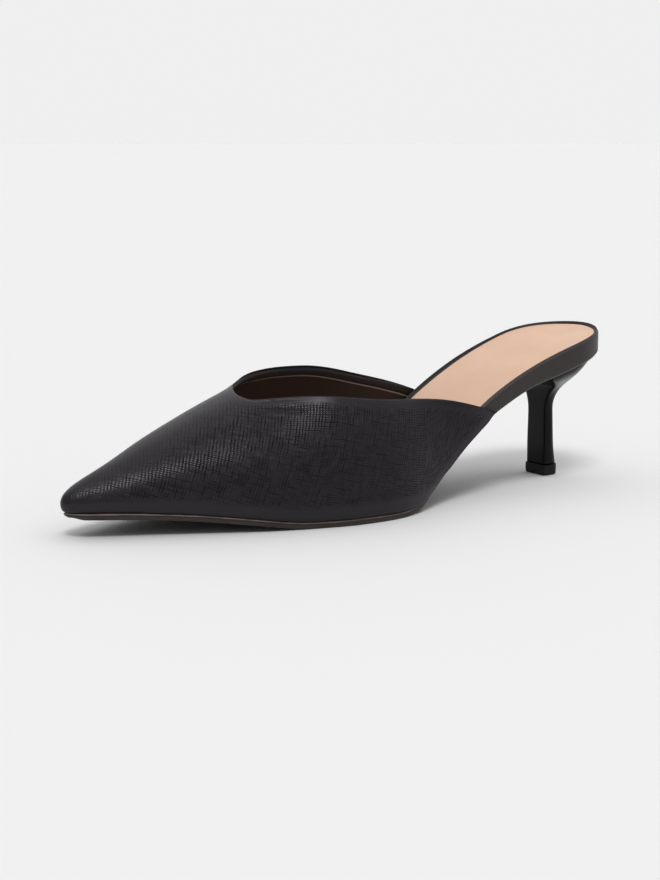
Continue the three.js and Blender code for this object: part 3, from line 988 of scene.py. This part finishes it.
@dataclass
class FootBed:
    """The insole board in its black wrap, and the beige sock on top of it."""

    levels: int = 2
    board_round_mm: float = 0.35
    sock_round_mm: float = 0.4
    sock_over_mm: float = 0.35
    sock_solid_mm: float = 1.8
    sock_fit: tuple[float, float] = (0.98, 0.993)
    sock_middle_mm: tuple[float, float] = (-3.0, 60.0)
    flat_z: float = 0.72
    lip_width_mm: float = 0.45
    bed_mm: float = 1.1
    bed_from_mm: tuple[float, float] = (40.0, 50.0)
    seat_mm: tuple[float, float] = (76.0, 92.0)
    seat_drop_mm: float = 2.0
    wrap: SmoothLeather = SmoothLeather("smooth_black_wrap_leather", "#403a3a", "#484242", 0.46)
    sock: SmoothLeather = SmoothLeather("smooth_beige_sock_leather", "#ebcbb5", "#e2bea4", 0.5, 0.5, 0.02)

    def build(self) -> list[bpy.types.Object]:
        """Builds and dresses the board and the sock.

        Returns:
            Both pieces.
        """
        board = merged_copy(Part.BOARD, "wrapped_insole_board")
        self.sink_bed(board)
        self.lower_seat(board)
        smooth_out(board, 25, self.levels, self.board_round_mm)
        finish_piece(board, [self.wrap.material()])
        sock = merged_copy(Part.SOCK, "insole_sock")
        smooth_out(sock, 25, self.levels, self.sock_round_mm)
        self.sink_sock(sock, board)
        finish_piece(sock, [self.sock.material()])
        return [board, sock]

    def lower_seat(self, board: bpy.types.Object) -> None:
        """Draws the wrap's lower edge down over the top of the heel, round the seat.

        Args:
            board: the board's piece, before it is subdivided.
        """
        points = places_mm(board)
        normals = np.empty(len(points) * 3)
        board.data.vertices.foreach_get("normal", normals)
        low = normals.reshape(-1, 3)[:, 2] < -0.2
        points[:, 2] -= self.seat_drop_mm * low * ease(points[:, 1], *self.seat_mm)
        board.data.vertices.foreach_set("co", (points * MM).ravel())
        board.data.update()

    def sink_sock(self, sock: bpy.types.Object, board: bpy.types.Object) -> None:
        """Lays the sock down on the sunk bed as a thin sheet.

        Args:
            sock: the sock's piece.
            board: the finished board.
        """
        mesh = board.data
        bed = BVHTree.FromPolygons([v.co for v in mesh.vertices], [f.vertices for f in mesh.polygons])
        points = places_mm(sock)
        middle = np.array(self.sock_middle_mm)
        points[:, :2] = middle + (points[:, :2] - middle) * self.sock_fit
        drop = self.bed_mm * ease(points[:, 1], *self.bed_from_mm)
        for i, (x, y, z) in enumerate(points):
            place = bed.ray_cast(Vector((x, y, z + 5)) * MM, Vector((0, 0, -1)))[0]
            if place:
                low = place.z / MM
                share = min(max((z - low - drop[i]) / self.sock_solid_mm, 0), 1)
                points[i, 2] = low + self.sock_over_mm * share
        sock.data.vertices.foreach_set("co", (points * MM).ravel())
        sock.data.update()

    def sink_bed(self, board: bpy.types.Object) -> None:
        """Sinks the board's top inside its rim, on the open part, so that the rim stands round the sock.

        Args:
            board: the board's piece, before it is subdivided.
        """
        select_only(board)
        mesh = board.data
        bpy.ops.object.mode_set(mode="EDIT")
        bpy.ops.mesh.select_mode(type="FACE")
        bpy.ops.mesh.select_all(action="DESELECT")
        bpy.ops.object.mode_set(mode="OBJECT")
        for f in mesh.polygons:
            f.select = f.normal.z > self.flat_z
        bpy.ops.object.mode_set(mode="EDIT")
        bpy.ops.mesh.inset(thickness=self.lip_width_mm * MM, use_even_offset=True)
        bpy.ops.object.mode_set(mode="OBJECT")
        bed = sorted({i for f in mesh.polygons if f.select for i in f.vertices})
        points = places_mm(board)
        points[bed, 2] -= self.bed_mm * ease(points[bed, 1], *self.bed_from_mm)
        mesh.vertices.foreach_set("co", (points * MM).ravel())
        mesh.update()


@dataclass
class Bottom:
    """The outsole, the heel and its top piece."""

    levels: int = 2
    tip_mm: tuple[float, float] = (118.0, 124.5)
    tip_round_mm: float = 2.0
    sole: SoleEdge = field(default_factory=SoleEdge)
    lacquer: HeelLacquer = field(default_factory=HeelLacquer)
    rubber: Rubber = field(default_factory=Rubber)

    def build(self) -> list[bpy.types.Object]:
        """Builds and dresses the three pieces.

        Returns:
            The pieces.
        """
        sole = merged_copy(Part.OUTSOLE, "leather_outsole")
        smooth_out(sole, 25, self.levels, 0.12)
        level = self.measure_level(sole)
        self.round_tip(sole, level)
        finish_piece(sole, [self.sole.material()])
        heel = merged_copy(Part.HEEL, "lacquered_heel")
        smooth_out(heel, 60, self.levels)
        finish_piece(heel, [self.lacquer.material()])
        top_piece = merged_copy(Part.TOP_PIECE, "rubber_top_piece")
        smooth_out(top_piece, 50, self.levels)
        finish_piece(top_piece, [self.rubber.material()])
        return [sole, heel, top_piece]

    def round_tip(self, piece: bpy.types.Object, level: np.ndarray) -> None:
        """Rounds the sole's front end up into the upper.

        Args:
            piece: the sole.
            level: each vertex's share of the way up from the underside.
        """
        points = places_mm(piece)
        near = ease(-points[:, 1], *self.tip_mm) * (1 - level)
        points[:, 1] += self.tip_round_mm * near * (1 - level)
        points[:, 2] += 0.3 * self.tip_round_mm * near
        piece.data.vertices.foreach_set("co", (points * MM).ravel())
        piece.data.update()

    def measure_level(self, piece: bpy.types.Object) -> np.ndarray:
        """Stores each vertex's share of the way up from the sole's underside to its top.

        Args:
            piece: the sole.

        Returns:
            The shares.
        """
        points = places_mm(piece)
        bins = np.arange(points[:, 1].min(), points[:, 1].max(), 4.0)
        which = np.digitize(points[:, 1], bins)
        used = [i for i in range(1, len(bins) + 1) if (which == i).any()]
        middle = [points[which == i, 1].mean() for i in used]
        low = np.interp(points[:, 1], middle, [points[which == i, 2].min() for i in used])
        high = np.interp(points[:, 1], middle, [points[which == i, 2].max() for i in used])
        level = np.clip((points[:, 2] - low) / np.maximum(high - low, 0.1), 0, 1)
        store(piece, "level", level)
        return level


@dataclass
class Studio:
    """The pale floor, the soft light and the camera."""

    camera_place: tuple[float, float, float] = (0.6456, -0.4406, 0.165)
    camera_aim: tuple[float, float, float] = (0.0, -0.0085, 0.026)
    lens_mm: float = 81.0
    paper_colour: str = "#f0f0f0"
    broad_from: tuple[float, float, float] = (-0.35, 0.45, 0.8)
    broad_spread_deg: float = 110.0
    broad_strength: float = 1.15
    key_from: tuple[float, float, float] = (0.43, -0.29, 0.86)
    key_spread_deg: float = 20.0
    key_strength: float = 1.15
    room_strength: float = 0.42
    floor_size: float = 40.0
    backdrop_distance: float = 5.0
    backdrop_size: tuple[float, float] = (20.0, 2.4)
    backdrop_colour: str = "#f2f2f2"
    tone: float = 0.82

    def build(self) -> None:
        """Builds the stage, the lamps and the camera."""
        self.floor()
        self.backdrop()
        self.light()
        self.camera()

    def floor(self) -> None:
        """Adds the pale floor."""
        bpy.ops.object.select_all(action="DESELECT")
        bpy.ops.mesh.primitive_plane_add(size=self.floor_size)
        floor = bpy.context.object
        floor.name = "studio_floor"
        material, tree = new_material("matte_studio_paper")
        shader = add(
            tree,
            "BsdfPrincipled",
            {"Base Color": linear(self.paper_colour), "Roughness": 0.95, "Specular IOR Level": 0.2},
        )
        close(tree, shader)
        floor.data.materials.append(material)

    def backdrop(self) -> None:
        """Adds an evenly lit wall of paper behind the shoe."""
        way = Vector(self.camera_aim) - Vector(self.camera_place)
        way.z = 0
        way.normalize()
        bpy.ops.object.select_all(action="DESELECT")
        turn = way.to_track_quat("-Z", "Y").to_euler()
        bpy.ops.mesh.primitive_plane_add(size=1.0, location=way * self.backdrop_distance, rotation=turn)
        wall = bpy.context.object
        wall.scale = (*self.backdrop_size, 1.0)
        wall.name = "studio_backdrop"
        material, tree = new_material("lit_studio_paper")
        shader = add(tree, "Emission", {"Color": linear(self.backdrop_colour)})
        close(tree, shader)
        wall.data.materials.append(material)

    def light(self) -> None:
        """Lights the shoe with a broad lamp behind, a smaller key in front and a dim even room."""
        self.lamp("overhead_softbox", self.broad_from, self.broad_spread_deg, self.broad_strength)
        self.lamp("key_softbox", self.key_from, self.key_spread_deg, self.key_strength)
        world = bpy.data.worlds.new("studio_room")
        world.use_nodes = True
        back = world.node_tree.nodes["Background"]
        back.inputs["Color"].default_value = (1, 1, 1, 1)
        back.inputs["Strength"].default_value = self.room_strength
        bpy.context.scene.world = world
        view = bpy.context.scene.view_settings
        view.view_transform = "Standard"
        view.gamma = self.tone

    def lamp(self, name: str, way: tuple[float, float, float], spread_deg: float, strength: float) -> None:
        """Adds a far lamp.

        Args:
            name: its name.
            way: the way to it from the shoe.
            spread_deg: how large it looks from the shoe.
            strength: its irradiance in watts per square metre.
        """
        data = bpy.data.lights.new(name, "SUN")
        data.angle = math.radians(spread_deg)
        data.energy = strength
        lamp = bpy.data.objects.new(name, data)
        bpy.context.scene.collection.objects.link(lamp)
        lamp.location = Vector(way).normalized() * 2
        lamp.rotation_euler = Vector(way).to_track_quat("Z", "Y").to_euler()

    def camera(self) -> None:
        """Adds the camera at the photograph's angle to the shoe."""
        data = bpy.data.cameras.new("camera")
        data.lens = self.lens_mm
        data.sensor_width = 36
        camera = bpy.data.objects.new("camera", data)
        bpy.context.scene.collection.objects.link(camera)
        camera.location = self.camera_place
        way = Vector(self.camera_aim) - Vector(self.camera_place)
        camera.rotation_euler = way.to_track_quat("-Z", "Y").to_euler()
        bpy.context.scene.camera = camera


def main() -> None:
    """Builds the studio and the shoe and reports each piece."""
    logging.basicConfig(level=logging.INFO, format="%(name)s: %(message)s")
    Studio().build()
    pieces = [Upper().build(), *FootBed().build(), *Bottom().build()]
    for piece in pieces:
        log.info("%s: %d faces", piece.name, len(piece.data.polygons))


if __name__ == "__main__":
    main()
